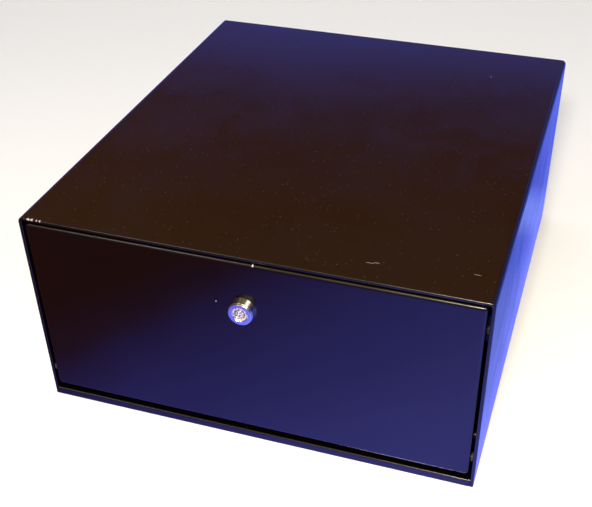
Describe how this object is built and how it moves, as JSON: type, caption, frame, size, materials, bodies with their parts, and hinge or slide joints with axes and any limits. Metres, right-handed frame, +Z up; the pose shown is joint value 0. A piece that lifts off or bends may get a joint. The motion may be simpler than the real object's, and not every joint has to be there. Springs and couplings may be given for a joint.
{
  "type": "book drop box",
  "caption": "Low steel book drop box with a keyed full-width drop-front door, a rear deposit slot and a hanging inner flap.",
  "frame": {"origin": "centre of the case's footprint, on the surface that the box stands on", "axes": "+X to the right as the door is faced, +Y from the door to the back, +Z up"},
  "size_m": [0.406, 0.4674, 0.2],
  "materials": {
    "black_enamel": "semi-gloss baked enamel",
    "lock_chrome": "bright plated",
    "zinc_steel": "zinc plated",
    "tumbler_brass": "turned",
    "nylon": "natural matt",
    "bumper_rubber": "matt"
  },
  "bodies": {
    "case": {"case_wrapper": "black_enamel", "base_pan": "black_enamel", "front_rail": "black_enamel", "back_panel": "black_enamel", "strike_bracket": "black_enamel", "slot_frame": "black_enamel", "stop_stud_right": "black_enamel", "stop_stud_left": "black_enamel", "door_stop_right": "black_enamel", "door_stop_left": "black_enamel", "flap_bracket_right": "black_enamel", "flap_bracket_left": "black_enamel", "slot_rivets": "zinc_steel", "flap_rod": "zinc_steel", "rod_clips": "zinc_steel", "hinge_pin_right": "zinc_steel", "hinge_pin_left": "zinc_steel", "hinge_washer_right": "nylon", "hinge_washer_left": "nylon", "stop_bumper_right": "bumper_rubber", "stop_bumper_left": "bumper_rubber"},
    "door": {"door_panel": "black_enamel", "lock_housing": "lock_chrome", "lock_washer": "zinc_steel", "lock_nut": "zinc_steel"},
    "lock_cylinder": {"lock_plug": "lock_chrome", "tumbler_pins": "tumbler_brass", "lock_cam": "zinc_steel", "cam_washer": "zinc_steel", "cam_screw": "zinc_steel"},
    "flap": {"deposit_flap": "black_enamel"}
  },
  "joints": [
    {"name": "door_hinge", "type": "hinge", "parent": "case", "child": "door", "pos_m": [0, -0.2225, 0.031], "axis": [1, 0, 0], "range_deg": [0, 90]},
    {"name": "lock_turn", "type": "hinge", "parent": "door", "child": "lock_cylinder", "pos_m": [-0.0016, -0.2285, 0.148], "axis": [0, 1, 0], "range_deg": [0, 90]},
    {"name": "flap_hinge", "type": "hinge", "parent": "case", "child": "flap", "pos_m": [0, 0.21255, 0.182], "axis": [-1, 0, 0], "range_deg": [0, 80]}
  ]
}
